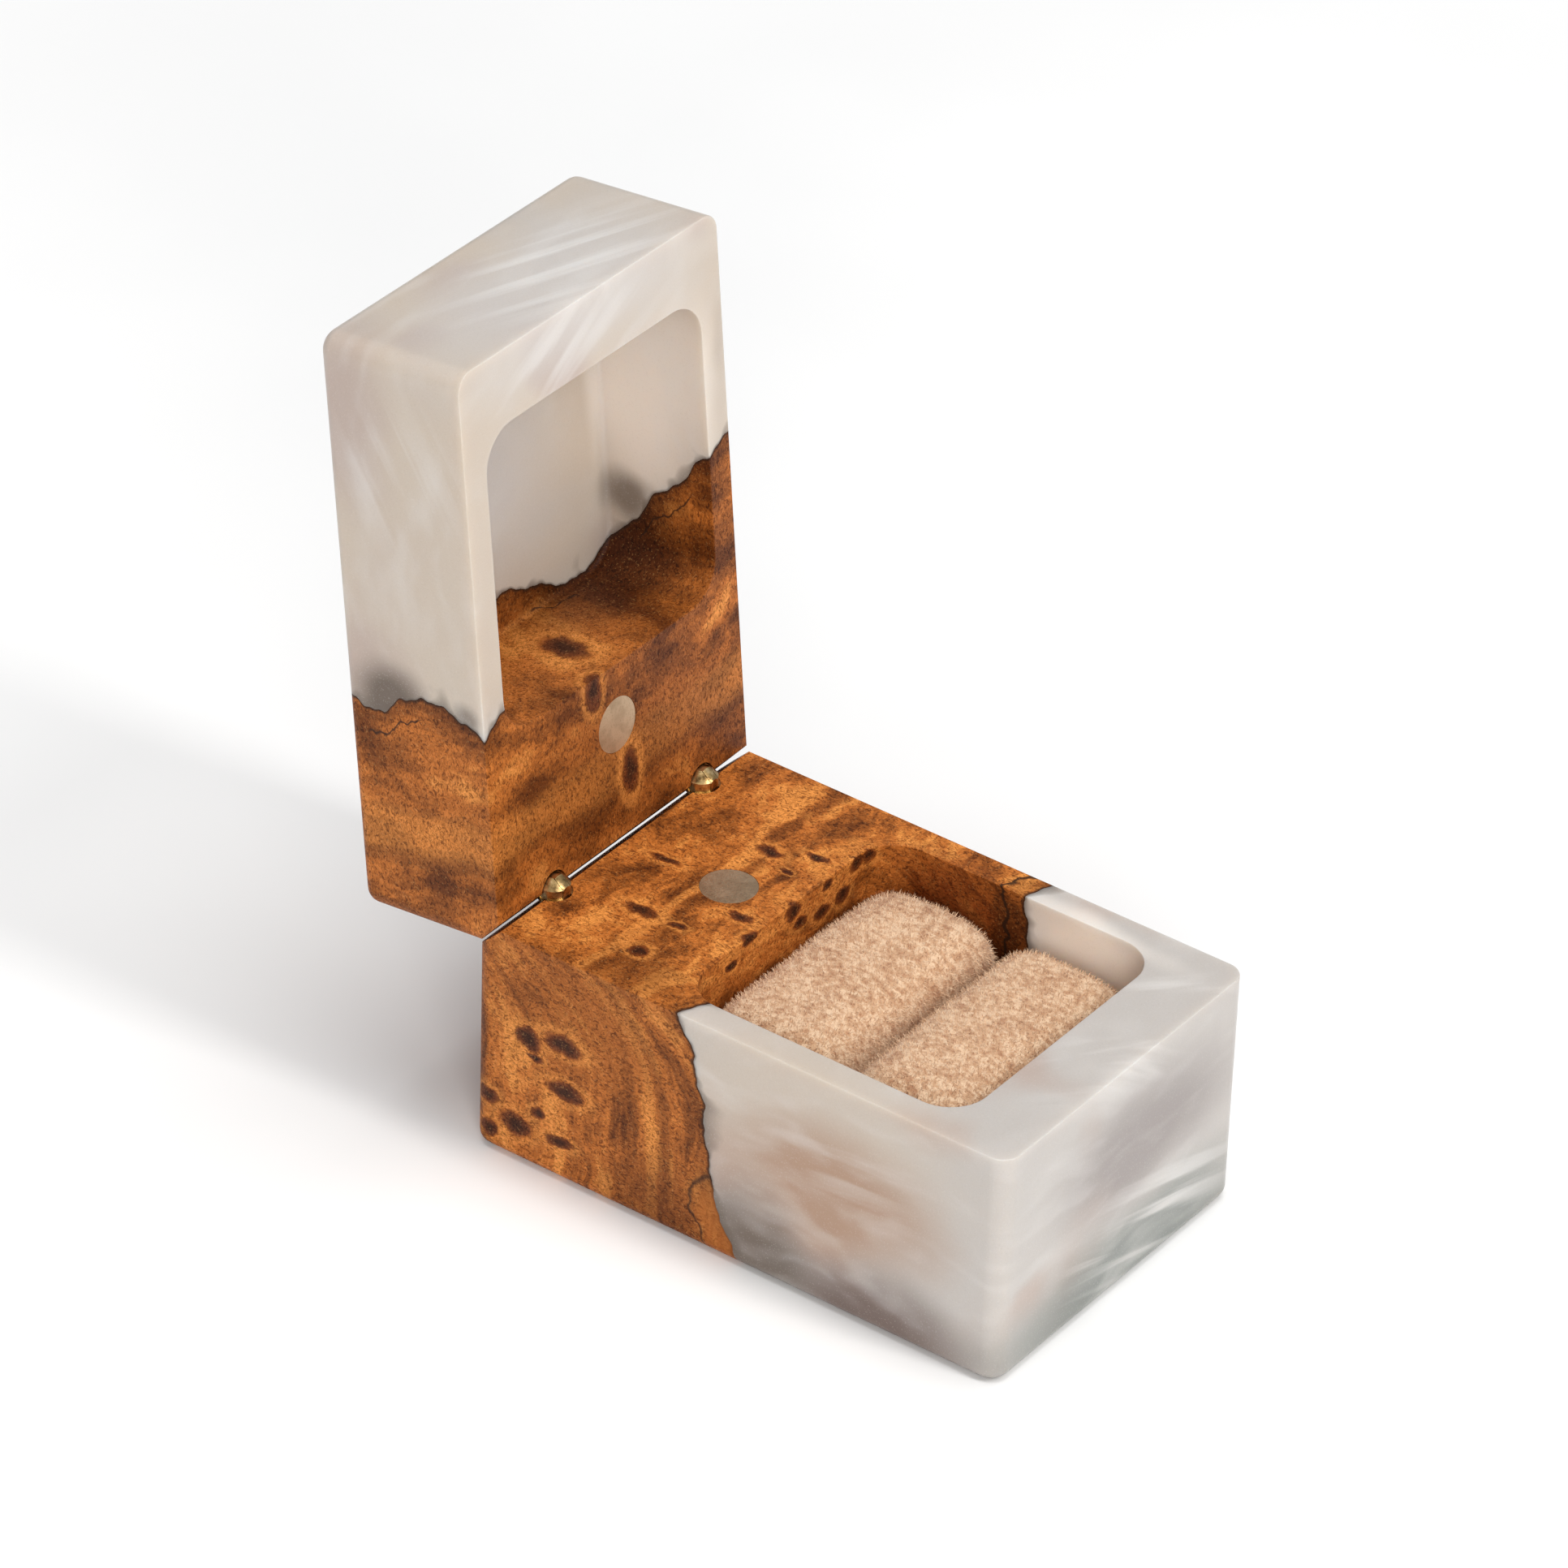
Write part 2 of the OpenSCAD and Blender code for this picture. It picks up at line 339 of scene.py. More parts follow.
def cut_stop_bevel(obj, block):
    """The bevel along the hinge edge that stops the open lid."""
    bm = bmesh.new()
    side = STOP_BEVEL * math.sqrt(2)
    edge = Matrix.Translation(Vector((0, HALF_LENGTH, block.rim)) * MM)
    turn = edge @ Matrix.Rotation(math.radians(45), 4, "X")
    size = Matrix.Diagonal(Vector((3 * HALF_WIDTH, side, side, 1 / MM))) * MM
    bmesh.ops.create_cube(bm, size=1, matrix=turn @ size)
    cut_away(obj, "wedge", bm)


def wood_side(block):
    """Closed solid behind the live edge, with the edge as a fine grid that runs past the block all round."""
    height = abs(block.rim - block.cap)
    bm = bmesh.new()
    edge = []
    for i in range(SEAM_COLUMNS + 1):
        x = mix(-HALF_WIDTH - SEAM_OVER, HALF_WIDTH + SEAM_OVER, i / SEAM_COLUMNS)
        column = []
        for j in range(SEAM_ROWS + 1):
            z = mix(-SEAM_OVER, height + SEAM_OVER, j / SEAM_ROWS)
            on_x = max(-HALF_WIDTH, min(HALF_WIDTH, x))
            on_z = max(0.0, min(height, z))
            column.append(bm.verts.new(Vector((x, block.seam(on_x, on_z), z)) * MM))
        edge.append(column)
    for left, right in zip(edge, edge[1:]):
        for j in range(SEAM_ROWS):
            bm.faces.new((left[j], right[j], right[j + 1], left[j + 1]))
    rim = [column[0] for column in edge]
    rim += edge[-1][1:]
    rim += [column[-1] for column in reversed(edge[:-1])]
    rim += list(reversed(edge[0][1:-1]))
    behind_y = (HALF_LENGTH + SEAM_OVER) * MM
    behind = [bm.verts.new(Vector((v.co.x, behind_y, v.co.z))) for v in rim]
    count = len(rim)
    for i in range(count):
        j = (i + 1) % count
        bm.faces.new((rim[i], behind[i], behind[j], rim[j]))
    bm.faces.new(behind)
    return new_object("wood_side", bm)


def wood_and_resin(block):
    """The wood and resin pieces of one block."""
    whole = tray(block)
    cut_bores(whole, block)
    cut_stop_bevel(whole, block)
    mold = wood_side(block)
    pieces = []
    for kind, operation in (("wood", "INTERSECT"), ("resin", "DIFFERENCE")):
        piece = link_object(f"{block.name}_{kind}_block", whole.data.copy())
        boolean(piece, mold, operation)
        smooth(piece)
        pieces.append(piece)
    bpy.data.objects.remove(whole)
    bpy.data.objects.remove(mold)
    return pieces


# ---------------------------------------------------------------- shader helper
class Shader:
    """Short calls for building one node material. Positions are in mm in the piece's own frame."""

    def __init__(self, name):
        self.material = bpy.data.materials.new(name)
        self.material.use_nodes = True
        self.tree = self.material.node_tree
        self.surface = self.tree.nodes["Principled BSDF"]
        where = self.tree.nodes.new("ShaderNodeTexCoord")
        self.mm = self.scaled(where.outputs["Object"], (1 / MM, 1 / MM, 1 / MM))
        self.x, self.y, self.z = self.split(self.mm)

    def put(self, socket, value):
        """Links the value to the socket, or sets it there when it is a plain number or colour."""
        if isinstance(value, Value):
            value = value.socket
        if isinstance(value, bpy.types.NodeSocket):
            self.tree.links.new(value, socket)
        elif isinstance(value, tuple) and socket.type == "RGBA":
            socket.default_value = (*value, 1)
        else:
            socket.default_value = value

    def add(self, kind, **inputs):
        """A new node with its inputs filled. An underscore in a name stands for a space."""
        node = self.tree.nodes.new(kind)
        for name, value in inputs.items():
            self.put(node.inputs[name.replace("_", " ")], value)
        return node

    def vector(self, operation, a, b):
        """The result of one Vector Math node."""
        node = self.tree.nodes.new("ShaderNodeVectorMath")
        node.operation = operation
        self.put(node.inputs[0], a)
        self.put(node.inputs["Scale"] if operation == "SCALE" else node.inputs[1], b)
        return node.outputs[0]

    def scaled(self, place, factors):
        """The place, stretched along each axis."""
        return self.vector("MULTIPLY", place, factors)

    def split(self, place):
        """The place as three values."""
        node = self.add("ShaderNodeSeparateXYZ", Vector=place)
        return [Value(self.tree, out) for out in node.outputs]

    def join(self, x, y, z):
        """A place from three values."""
        return self.add("ShaderNodeCombineXYZ", X=x, Y=y, Z=z).outputs[0]

    def noise(self, place, per_mm, detail=2.0, rough=0.5, warp=0.0):
        """Soft noise around one half, with so many lumps per mm."""
        node = self.add(
            "ShaderNodeTexNoise", Vector=place, Scale=per_mm, Detail=detail, Roughness=rough, Distortion=warp
        )
        return Value(self.tree, node.outputs["Fac"])

    def warped(self, amount, per_mm):
        """The position, pushed about by soft noise."""
        node = self.add("ShaderNodeTexNoise", Vector=self.mm, Scale=per_mm, Detail=2.0)
        push = self.vector("SUBTRACT", node.outputs["Color"], (0.5, 0.5, 0.5))
        return self.vector("ADD", self.mm, self.vector("SCALE", push, amount))

    def fade(self, value, start, end, first=0.0, last=1.0):
        """Goes smoothly from first to last as value goes from start to end."""
        node = self.tree.nodes.new("ShaderNodeMapRange")
        node.interpolation_type = "SMOOTHSTEP"
        for socket, number in zip(node.inputs, (value, start, end, first, last)):
            self.put(socket, number)
        return Value(self.tree, node.outputs["Result"])

    def ramp(self, value, stops):
        """A colour that changes smoothly through the stops (position, colour)."""
        node = self.tree.nodes.new("ShaderNodeValToRGB")
        node.color_ramp.interpolation = "EASE"
        while len(node.color_ramp.elements) < len(stops):
            node.color_ramp.elements.new(0.5)
        for element, (position, colour) in zip(node.color_ramp.elements, stops):
            element.position = position
            element.color = (*colour, 1)
        self.put(node.inputs[0], value)
        return node.outputs[0]

    def over(self, colour, top, share, mode="MIX"):
        """The colour with top laid over it by share."""
        node = self.tree.nodes.new("ShaderNodeMix")
        node.data_type = "RGBA"
        node.blend_type = mode
        self.put(node.inputs[0], share)
        self.put(node.inputs[6], colour)
        self.put(node.inputs[7], top)
        return node.outputs[2]

    def blobs(self, shapes, place):
        """Distance to the nearest of some ovals (centre, half size), 0 at a centre and 1 at a rim."""
        nearest = None
        for centre, half in shapes:
            arm = self.vector("SUBTRACT", place, centre)
            node = self.tree.nodes.new("ShaderNodeVectorMath")
            node.operation = "LENGTH"
            self.put(node.inputs[0], self.scaled(arm, tuple(1 / h for h in half)))
            reach = Value(self.tree, node.outputs["Value"])
            nearest = reach if nearest is None else nearest.step("MINIMUM", nearest, reach)
        return nearest

    def stained(self, colour, stains, place):
        """The colour with soft oval stains laid over it (tint, centre, half size, strength)."""
        for tint, centre, half, strength in stains:
            reach = self.blobs([(centre, half)], place)
            colour = self.over(colour, tint, self.fade(reach, 0.3, 1.2, strength, 0.0))
        return colour

    def bump(self, height, strength, depth_mm):
        """Gives the surface a fine relief."""
        node = self.add("ShaderNodeBump", Strength=strength, Distance=depth_mm * MM, Height=height)
        self.tree.links.new(node.outputs[0], self.surface.inputs["Normal"])

    def set(self, **sockets):
        """Fills the surface shader's own sockets."""
        for name, value in sockets.items():
            self.put(self.surface.inputs[name.replace("_", " ")], value)


# ---------------------------------------------------------------- burl wood
# bird's eyes: centre and half size in mm, in the part's own frame
BASE_EYES = [
    ((LEFT, 21.2, 16.9), (3.0, 2.4, 1.2)),
    ((LEFT, 25.5, 15.8), (3.0, 1.6, 1.4)),
    ((LEFT, 24.6, 13.8), (2.0, 1.2, 0.5)),
    ((LEFT, 20.8, 11.3), (3.0, 2.4, 1.1)),
    ((LEFT, 24.0, 7.3), (2.0, 1.0, 0.8)),
    ((LEFT, 26.8, 4.6), (3.0, 2.1, 1.4)),
    ((LEFT, 21.4, 4.9), (2.5, 1.7, 0.8)),
    ((LEFT, 30.4, 6.6), (2.5, 1.2, 1.1)),
    ((LEFT, 30.3, 2.7), (2.5, 1.2, 1.0)),
    ((-8.8, 20.6, BASE_HEIGHT), (0.9, 2.2, 2.0)),
    ((-8.7, 16.0, BASE_HEIGHT), (0.5, 1.1, 1.5)),
    ((-0.3, 24.2, BASE_HEIGHT), (0.6, 1.9, 1.6)),
    ((-14.5, 16.5, BASE_HEIGHT), (0.9, 1.1, 1.0)),
    ((7.4, 16.7, BASE_HEIGHT), (0.9, 1.6, 1.6)),
    ((5.7, 13.4, BASE_HEIGHT), (0.5, 0.7, 1.0)),
    ((9.5, 12.3, BASE_HEIGHT), (0.6, 1.6, 1.0)),
    ((-3.6, 11.9, 27.0), (0.7, 1.5, 1.2)),
    ((-5.6, POCKET_BACK, 26.9), (1.3, 0.8, 0.7)),
    ((1.6, POCKET_BACK, 26.2), (1.4, 1.5, 1.0)),
    ((2.8, POCKET_BACK, 24.3), (1.2, 1.5, 0.7)),
    ((7.4, POCKET_BACK, 26.4), (1.0, 1.5, 0.6)),
    ((6.6, POCKET_BACK, 23.4), (1.4, 1.5, 0.8)),
    ((10.0, POCKET_BACK, 23.8), (1.1, 1.5, 1.0)),
    ((12.3, POCKET_BACK, 26.4), (1.2, 1.5, 0.8)),
    ((14.0, POCKET_BACK, 26.4), (0.9, 1.5, 0.8)),
    ((-8.8, POCKET_BACK, 25.3), (0.8, 1.0, 0.5)),
]
LID_EYES = [
    ((0.2, 9.2, 6.2), (1.8, 2.0, 3.0)),
    ((-3.4, 10.6, 0.0), (1.2, 2.2, 1.2)),
    ((1.6, 22.2, 0.0), (1.3, 2.6, 1.8)),
    ((15.0, 26.0, LID_HEIGHT), (1.4, 2.4, 1.5)),
    ((-6.0, 24.0, LID_HEIGHT), (1.2, 1.8, 1.2)),
]

WOOD_DARK = (0.045, 0.010, 0.002)
WOOD_RED = (0.150, 0.026, 0.004)
WOOD_DEEP = (0.115, 0.029, 0.004)
WOOD_MID = (0.245, 0.070, 0.011)
WOOD_WARM = (0.425, 0.127, 0.021)
WOOD_GOLD = (0.630, 0.232, 0.047)
WOOD_PALE = (0.720, 0.380, 0.140)
EYE_CORE = (0.030, 0.008, 0.003)
EYE_RING = (0.120, 0.028, 0.006)
BARK = (0.025, 0.010, 0.005)

# darker wood, and painted shade in the lid's pocket: tint, centre and half size in mm, and strength
BASE_HEART = [
    (WOOD_DEEP, (LEFT, 9.0, 1.0), (5.0, 9.0, 9.0), 0.7),
    (WOOD_DEEP, (LEFT, 3.5, 14.0), (5.0, 3.0, 12.0), 0.35),
    (WOOD_MID, (-21.5, 20.0, 22.0), (5.0, 17.0, 11.0), 0.5),
    (WOOD_RED, (17.5, 0.5, 19.0), (3.2, 9.5, 10.0), 0.9),
    (WOOD_DARK, (18.0, -6.0, 22.0), (4.0, 2.5, 7.0), 0.7),
    (WOOD_DEEP, (-17.0, 14.0, BASE_HEIGHT), (4.0, 5.0, 3.0), 0.6),
]
LID_HEART_AND_SHADE = [
    (WOOD_DEEP, (0.0, 22.0, 0.0), (24.0, 14.0, 7.0), 0.45),
    # painted shade: this dark patch sits on the lid pocket's floor and right wall, partly darker wood and
    # partly the shade of the recess
    (WOOD_DARK, (14.0, 5.0, 12.5), (18.0, 10.5, 11.5), 0.95),
    (WOOD_DARK, (-15.0, 9.5, 13.0), (4.5, 3.5, 3.5), 0.7),
    (WOOD_DEEP, (LEFT, 12.5, 14.5), (4.0, 3.5, 3.0), 0.8),
]


# height in mm from which the base's figure leans back, and what pores do to the wood's colour
LEAN_FROM = 14.0
PORE_LIGHT = (1.45, 1.5, 1.7)
PORE_DARK = (0.34, 0.28, 0.24)


def base_lines(y, z):
    """The figure's lines stand upright low down and lean back towards the top."""
    rise = (z - LEAN_FROM).step("MAXIMUM", z - LEAN_FROM, 0.0)
    return y - 0.055 * rise * rise


def lid_lines(y, z):
    """The figure's lines lean evenly."""
    return y - 0.1 * z


# figure of the wood: its lines, bands per mm, share of the fine bands, a golden band (place, half width,
# strength) and the place of a darker line beside it, in mm along the figure
BASE_FIGURE = SimpleNamespace(lines=base_lines, per_mm=0.34, fine=0.18, gold=(9.8, 0.35, 0.6), shade=8.0)
LID_FIGURE = SimpleNamespace(lines=lid_lines, per_mm=0.20, fine=0.10, gold=(20.8, 1.6, 0.45), shade=23.6)


def figured(s, figure, bent, cloud):
    """Bands of darker and lighter wood along the figure's lines."""
    x, y, z = s.split(bent)
    line = figure.lines(y, z)
    along = s.join(line, x * 0.42, z * 0.10)
    bands = s.noise(along, figure.per_mm, 3.0, 0.6)
    fine_bands = s.noise(along, 1.7, 2.0, 0.6)
    tone = 0.54 * bands + 0.42 * cloud + figure.fine * fine_bands
    colour = s.ramp(tone, [(0.44, WOOD_DEEP), (0.51, WOOD_MID), (0.58, WOOD_WARM), (0.68, WOOD_GOLD)])
    place, half, strength = figure.gold
    golden = s.fade(abs(line - place), half, half * 2.6, strength, 0.0)
    colour = s.over(colour, WOOD_GOLD, golden)
    return s.over(colour, WOOD_DEEP, s.fade(abs(line - figure.shade), 0.2, 1.3, 0.5, 0.0))


def eyed(s, colour, eyes):
    """Bird's eyes with pale halos."""
    eye = s.blobs(eyes, s.warped(1.4, 0.55))
    halo = s.fade(eye, 1.0, 1.25) * s.fade(eye, 1.25, 2.1, 0.55, 0.0)
    colour = s.over(colour, WOOD_GOLD, halo)
    colour = s.over(colour, EYE_RING, s.fade(eye, 0.75, 1.12, 0.95, 0.0))
    return s.over(colour, EYE_CORE, s.fade(eye, 0.2, 0.85, 0.9, 0.0))


def pored(s, colour, fleck):
    """Short wavy pores, pale flecks and painted glints."""
    colour = s.over(colour, PORE_LIGHT, s.fade(fleck, 0.50, 0.62, 0.0, 0.75), "MULTIPLY")
    colour = s.over(colour, PORE_DARK, s.fade(fleck, 0.36, 0.48, 0.85, 0.0), "MULTIPLY")
    # painted glints: small pale specks on the wood
    glint = s.noise(s.mm, 4.4, 1.0, 0.5)
    return s.over(colour, WOOD_PALE, s.fade(glint, 0.60, 0.74, 0.0, 0.2))


def base_cracks(s, colour, inside):
    """A paler chip split off at the foot of the left side, and a split across the pocket's right rim."""
    deep = inside * (1 / 4.0) + 0.5 * s.noise(s.mm, 0.5, 2.0) - 0.25
    chip = deep * deep + s.z * s.z * (1 / 86)
    at_left = s.fade(s.x, -16.0, -9.0, 1.0, 0.0)
    at_right = s.fade(s.x, 12.0, 15.0)
    colour = s.over(colour, WOOD_WARM, s.fade(chip, 0.5, 0.95, 0.5, 0.0) * at_left)
    crack = s.fade(abs(chip - 1.0), 0.0, 0.13, 0.8, 0.0) * at_left
    split = abs(inside - 3.6 + 2.2 * s.noise(s.mm, 0.5, 2.0))
    return colour, crack + s.fade(split, 0.08, 0.34, 0.9, 0.0) * at_right


def lid_cracks(s, colour, inside):
    """Broken cracks that run beside the live edge."""
    crack = abs(inside - 1.2 - 3.0 * s.noise(s.mm, 0.22, 3.0, 0.7))
    shown = s.fade(s.noise(s.mm, 0.12, 1.0), 0.50, 0.58)
    return colour, s.fade(crack, 0.05, 0.22, 0.85, 0.0) * shown


def burl(block):
    """Burl wood: figure, heartwood, painted pocket shade, bird's eyes, pores, painted glints, bark, cracks.
    """
    s = Shader(f"burl_{block.name}")
    inside = s.y - block.seam(s.x, s.z)
    bent = s.warped(4.6, 0.09)
    cloud = s.noise(bent, 0.13, 3.0, 0.6)
    colour = figured(s, block.figure, bent, cloud)

    near_edge = s.fade(inside, 0.0, 3.0, 0.6, 0.0) * s.fade(cloud, 0.38, 0.58, 0.25, 1.0)
    colour = s.over(colour, WOOD_DARK, near_edge)
    # darker heartwood, and in the lid painted shade inside the pocket
    colour = s.stained(colour, block.heart, s.warped(6.0, 0.2))
    colour = eyed(s, colour, block.eyes)
    fleck = s.noise(s.scaled(s.warped(0.7, 0.8), (1.0, 0.6, 1.0)), 3.2, 2.0, 0.6, warp=1.2)
    colour = pored(s, colour, fleck)

    breadth = 0.05 + 0.6 * s.noise(s.mm, 0.5, 2.0, 0.6)
    bark = s.fade(abs(inside) / breadth, 0.25, 1.3, 0.85, 0.0)
    colour = s.over(colour, BARK, bark)
    colour, crack = block.cracks(s, colour, inside)
    colour = s.over(colour, BARK, crack)

    s.set(Base_Color=colour, Roughness=s.fade(fleck, 0.3, 0.7, 0.60, 0.42), Specular_IOR_Level=0.15)
    s.bump(fleck - 0.8 * bark - 0.8 * crack, 0.4, 0.06)
    return s.material


# ---------------------------------------------------------------- pearl resin
RESIN_WHITE = (0.54, 0.505, 0.475)
RESIN_CREAM = (0.585, 0.50, 0.415)
RESIN_PINK = (0.415, 0.26, 0.172)
RESIN_LILAC = (0.30, 0.26, 0.248)
RESIN_MAUVE = (0.49, 0.39, 0.34)
RESIN_GREEN = (0.205, 0.223, 0.206)
RESIN_SMOKE = (0.12, 0.083, 0.058)
RESIN_DUSK = (0.15, 0.098, 0.08)
RESIN_PALE = (0.61, 0.57, 0.54)
# painted light: a pale glow laid on the pockets' inner right walls, which lie in shade
RESIN_PAINTED_GLOW = (0.95, 0.89, 0.82)
# painted sheen: the pale tint of the mica streaks and of the glitter's glints
RESIN_SHEEN = (0.76, 0.735, 0.71)

# drifts of tint in the pour, and painted glow on the pockets' inner right walls: tint, centre and half size
# in mm, and strength
BASE_DRIFTS_AND_GLOW = [
    (RESIN_CREAM, (-20.0, -8.0, 22.0), (8.0, 22.0, 12.0), 0.8),
    (RESIN_PINK, (-20.0, -12.0, 14.0), (9.0, 15.0, 9.5), 0.95),
    (RESIN_LILAC, (3.5, -33.0, 17.0), (17.0, 8.0, 9.0), 0.9),
    (RESIN_GREEN, (2.0, -33.0, 1.0), (28.0, 9.0, 9.0), 0.95),
    # painted light: glow on the pocket's inner right wall
    (RESIN_PAINTED_GLOW, (17.0, -15.0, 22.0), (3.0, 16.0, 8.0), 0.9),
    (RESIN_DUSK, (-20.0, -18.0, 0.0), (7.0, 15.0, 8.0), 0.95),
    (RESIN_SMOKE, (-20.0, -2.5, 1.5), (8.0, 9.0, 10.5), 0.9),
    (RESIN_MAUVE, (RIGHT, -20.0, 19.0), (2.4, 12.0, 8.0), 0.8),
    (RESIN_GREEN, (RIGHT, -14.0, 1.0), (2.4, 18.0, 8.0), 0.8),
    (RESIN_DUSK, (RIGHT, -8.5, 10.0), (2.4, 3.0, 12.0), 0.6),
]
LID_DRIFTS_AND_GLOW = [
    (RESIN_CREAM, (-20.0, -8.0, 5.0), (8.0, 22.0, 12.0), 0.9),
    (RESIN_MAUVE, (-20.0, -24.0, 15.0), (8.0, 12.0, 7.0), 0.9),
    (RESIN_CREAM, (15.0, -10.0, 8.0), (12.0, 18.0, 14.0), 0.9),
    # painted light: glow on the pocket's inner right wall
    (RESIN_PAINTED_GLOW, (17.0, -12.0, 8.0), (3.2, 16.0, 11.0), 0.7),
    (RESIN_PALE, (-4.0, -10.0, LID_POCKET_DEPTH), (16.0, 16.0, 5.0), 0.8),
    (RESIN_PALE, (0.0, -32.0, 4.0), (24.0, 8.0, 12.0), 0.9),
    (RESIN_SMOKE, (-20.0, 6.6, 12.0), (7.0, 5.0, 5.2), 0.95),
    (RESIN_SMOKE, (-20.0, 6.0, 3.0), (5.0, 2.2, 2.2), 0.7),
    (RESIN_SMOKE, (17.5, 2.0, 11.0), (3.5, 3.6, 4.0), 0.8),
    (RESIN_LILAC, (RIGHT, -20.0, 6.0), (2.4, 12.0, 7.0), 0.6),
    (RESIN_LILAC, (8.0, -20.0, LID_HEIGHT), (12.0, 13.0, 2.8), 0.6),
    (RESIN_PINK, (-9.0, -10.0, LID_HEIGHT), (10.0, 12.0, 2.8), 0.5),
]

# silky mica streaks, painted lighter as a sheen: centre and half size in mm, how their lines tilt along x and
# y, streaks per mm, and strength
BASE_SHEENS = [
    ((6.0, -32.5, 6.0), (20.0, 6.0, 8.0), (0.26, 0.0), 0.40, 0.8),
    ((6.0, -29.0, 27.0), (20.0, 8.0, 4.0), (0.75, 0.8), 0.20, 0.95),
    ((LEFT, -14.0, 17.0), (5.0, 11.0, 6.0), (0.1, 0.08), 0.40, 0.30),
    ((22.6, -17.0, 12.0), (5.0, 15.0, 14.0), (0.1, 0.45), 0.35, 0.85),
]
LID_SHEENS = [
    ((4.0, -32.5, 6.0), (19.0, 6.0, 9.0), (0.41, 0.0), 0.40, 0.95),
    ((-4.0, -28.0, 0.0), (18.0, 8.0, 4.0), (0.5, 0.9), 0.25, 0.6),
    ((LEFT, -18.0, 8.0), (5.0, 12.0, 9.0), (0.1, 0.5), 0.40, 0.35),
    ((22.6, -16.0, 9.0), (5.0, 16.0, 10.0), (0.1, 0.5), 0.35, 0.85),
    ((0.0, -14.0, 19.5), (24.0, 20.0, 5.0), (0.7, 0.9), 0.22, 0.85),
]


def streaked(s, colour, sheens, bent):
    """Long silky streaks where the mica was drawn out, painted lighter as a sheen."""
    for centre, half, (tilt_x, tilt_y), per_mm, strength in sheens:
        level = s.z + tilt_x * s.x + tilt_y * s.y
        sweep = s.join((s.x - s.y) * 0.03, level * per_mm, 7.3 * tilt_x)
        line = s.noise(sweep, 1.0, 3.0, 0.5, warp=0.3)
        patch = s.fade(s.blobs([(centre, half)], bent), 0.1, 1.1, strength, 0.0)
        colour = s.over(colour, RESIN_SHEEN, s.fade(line, 0.47, 0.66) * patch)
    # painted sheen: a soft silky haze over the pour
    silk_sheen = s.noise(s.scaled(bent, (0.3, 0.35, 1.0)), 0.3, 2.0, 0.5)
    return s.over(colour, RESIN_SHEEN, s.fade(silk_sheen, 0.45, 0.80, 0.0, 0.30))


def glittered(s, colour):
    """Fine dark grains, and light grains painted as glints of the glitter."""
    grain = s.noise(s.mm, 5.5, 1.0, 0.6)
    # painted glints: light specks of the glitter
    colour = s.over(colour, RESIN_SHEEN, s.fade(grain, 0.60, 0.72, 0.0, 0.13))
    return s.over(colour, RESIN_SMOKE, s.fade(grain, 0.30, 0.42, 0.05, 0.0))


def pearl(block):
    """Pearl resin with soft clouds, drifts of tint, painted glow on the pockets' inner walls, silky mica
    streaks with painted sheen, smoke by the bark and glitter with painted glints.
    """
    s = Shader(f"pearl_{block.name}")
    away = block.seam(s.x, s.z) - s.y
    bent = s.warped(7.0, 0.06)
    cloud = s.noise(bent, 0.045, 2.0, 0.5)
    colour = s.ramp(cloud, [(0.34, RESIN_MAUVE), (0.47, block.milk), (0.72, RESIN_WHITE)])
    # tints of the pour, with painted glow on the pockets' inner right walls
    colour = s.stained(colour, block.drifts, s.warped(4.5, 0.08))
    colour = streaked(s, colour, block.sheens, bent)
    reach = 0.3 + 2.6 * s.fade(s.noise(s.mm, 0.18, 2.0, 0.6), 0.42, 0.70)
    colour = s.over(colour, RESIN_SMOKE, s.fade(away / reach, 0.0, 1.0, 0.6, 0.0))
    colour = glittered(s, colour)
    s.set(
        Base_Color=colour, Roughness=0.32, Coat_Weight=0.1, Coat_Roughness=0.2,
        Subsurface_Weight=0.6, Subsurface_Radius=(1.0, 0.85, 0.7), Subsurface_Scale=2.5 * MM,
    )
    s.bump(s.noise(s.mm, 2.2, 2.0, 0.5), 0.05, 0.05)
    return s.material


# ---------------------------------------------------------------- metals
BRASS_WORN = (0.22, 0.13, 0.05)
BRASS_MID = (0.55, 0.37, 0.16)
BRASS_LIGHT = (0.80, 0.60, 0.32)
NICKEL_WORN = (0.33, 0.23, 0.15)
NICKEL_DEEP = (0.50, 0.38, 0.25)
NICKEL_LIGHT = (0.64, 0.50, 0.34)

# widths of the soft edges in mm, and the angle in degrees from which an edge gets one
HINGE_EDGE = 0.06
MAGNET_EDGE = 0.12
EDGE_ANGLE = 30


def brass():
    """Worn brass with fine turned rings."""
    s = Shader("brass")
    wear = s.noise(s.mm, 0.9, 3.0, 0.6)
    colour = s.ramp(wear, [(0.35, BRASS_WORN), (0.52, BRASS_MID), (0.7, BRASS_LIGHT)])
    rings = s.noise(s.scaled(s.mm, (0.3, 0.3, 6.0)), 1.6, 2.0)
    s.set(Base_Color=colour, Metallic=1.0, Roughness=s.fade(wear + rings, 0.7, 1.3, 0.26, 0.42))
    s.bump(rings, 0.12, 0.03)
    return s.material


def nickel():
    """Satin nickel with a fine grain."""
    s = Shader("nickel")
    skin = s.noise(s.mm, 5.0, 3.0, 0.6)
    cloud = s.noise(s.mm, 0.5, 2.0)
    colour = s.ramp(cloud, [(0.35, NICKEL_DEEP), (0.65, NICKEL_LIGHT)])
    colour = s.over(colour, NICKEL_WORN, s.fade(skin, 0.3, 0.45, 0.35, 0.0))
    s.set(Base_Color=colour, Metallic=1.0, Roughness=s.fade(skin, 0.3, 0.7, 0.50, 0.36))
    s.bump(skin, 0.35, 0.03)
    return s.material


